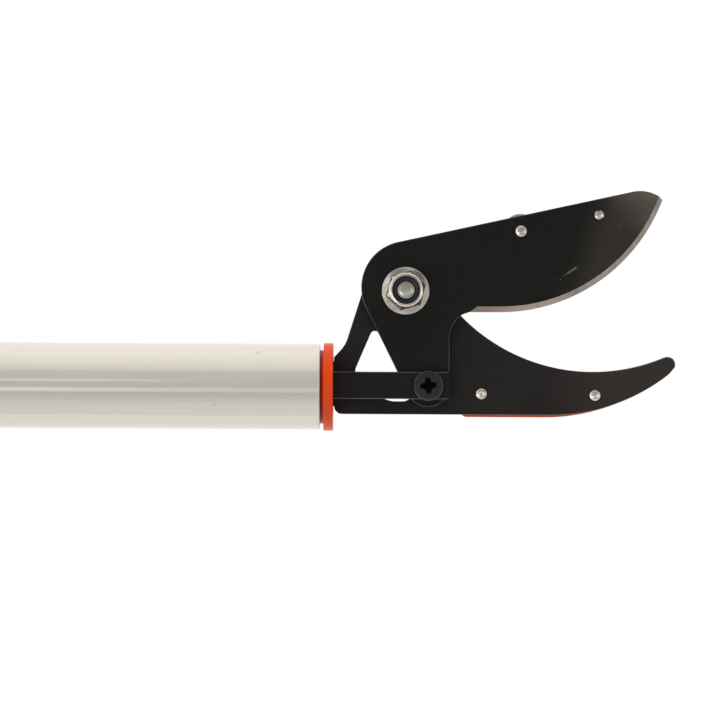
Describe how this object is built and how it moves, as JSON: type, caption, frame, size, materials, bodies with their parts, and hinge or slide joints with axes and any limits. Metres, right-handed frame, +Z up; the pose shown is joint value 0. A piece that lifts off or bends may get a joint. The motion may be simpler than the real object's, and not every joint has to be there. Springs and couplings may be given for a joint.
{
  "type": "long-reach pole pruner",
  "caption": "Long-reach cut-and-hold bypass pruner: curved blade and hook on an aluminium pole, closed by a pull rod from a pistol-grip trigger.",
  "frame": {"origin": "centre of the butt cap's flat face, on the pole's axis", "axes": "+X along the pole towards the cutting head, +Z up, on the side of the cutting blade, +Y towards the hook's back"},
  "size_m": [1.2192, 0.034, 0.1711],
  "materials": {
    "tube": "satin anodised",
    "orange_plastic": "moulded, slightly glossy",
    "black_steel": "black coated plate",
    "blade_steel": "black coated, bevel ground bright",
    "bright_steel": "bright",
    "bolt_steel": "plain steel",
    "zinc": "bright zinc plated",
    "nylon": "dark blue nylon",
    "pale_nylon": "natural nylon",
    "black_screw": "black oxide",
    "black_plastic": "fine moulded texture"
  },
  "bodies": {
    "pole": {"pole_tube": "tube", "end_plug": "orange_plastic", "tang_screws": "bright_steel", "hook_blade": "black_steel", "hook_holder": "orange_plastic", "hook_rivets": "bright_steel", "pivot_bolt": "bolt_steel", "pivot_washer": "zinc", "pivot_nut": "zinc", "nut_insert": "nylon", "rod_guides": "pale_nylon", "spring_seat": "pale_nylon", "return_spring": "bright_steel", "trigger_pin": "bright_steel", "handle_front_shell": "black_plastic", "handle_rear_shell": "black_plastic", "shell_screws": "bright_steel", "butt_cap": "black_plastic"},
    "blade": {"cutting_blade": "blade_steel", "blade_holder": "black_steel", "rivet_spacers": "bright_steel", "blade_rivets": "bright_steel", "drive_screw": "black_screw"},
    "strip": {"drive_strip": "black_steel"},
    "rod": {"pull_rod": "bolt_steel", "rod_yoke": "bolt_steel", "yoke_pin": "bright_steel", "spring_collar": "bolt_steel", "rod_eye": "bolt_steel"},
    "trigger": {"trigger": "orange_plastic", "link_pin": "bright_steel"}
  },
  "joints": [
    {"name": "trigger_pull", "type": "hinge", "parent": "pole", "child": "trigger", "pos_m": [0.082, 0, 0.02406], "axis": [0, 1, 0], "range_deg": [0, 41], "stiffness_Nm_per_rad": 1, "springref_deg": -22.92},
    {"name": "blade_close", "type": "hinge", "parent": "pole", "child": "blade", "pos_m": [1.1408, 0, 0.0279], "axis": [0, 1, 0], "range_deg": [0, 35]},
    {"name": "strip_level", "type": "hinge", "parent": "blade", "child": "strip", "pos_m": [1.1474, 0, 0.0006], "axis": [0, 1, 0], "range_deg": [-35, 0]},
    {"name": "rod_slide", "type": "slide", "parent": "pole", "child": "rod", "axis": [-1, 0, 0], "range_m": [0, 0.01685], "deforming": ["return_spring"]}
  ],
  "couplings": [
    {"joint": "blade_close", "follows": "trigger_pull", "ratio": 0.85366},
    {"joint": "strip_level", "follows": "trigger_pull", "ratio": -0.85366},
    {"joint": "rod_slide", "follows": "trigger_pull", "m_per_rad": 0.023547}
  ]
}
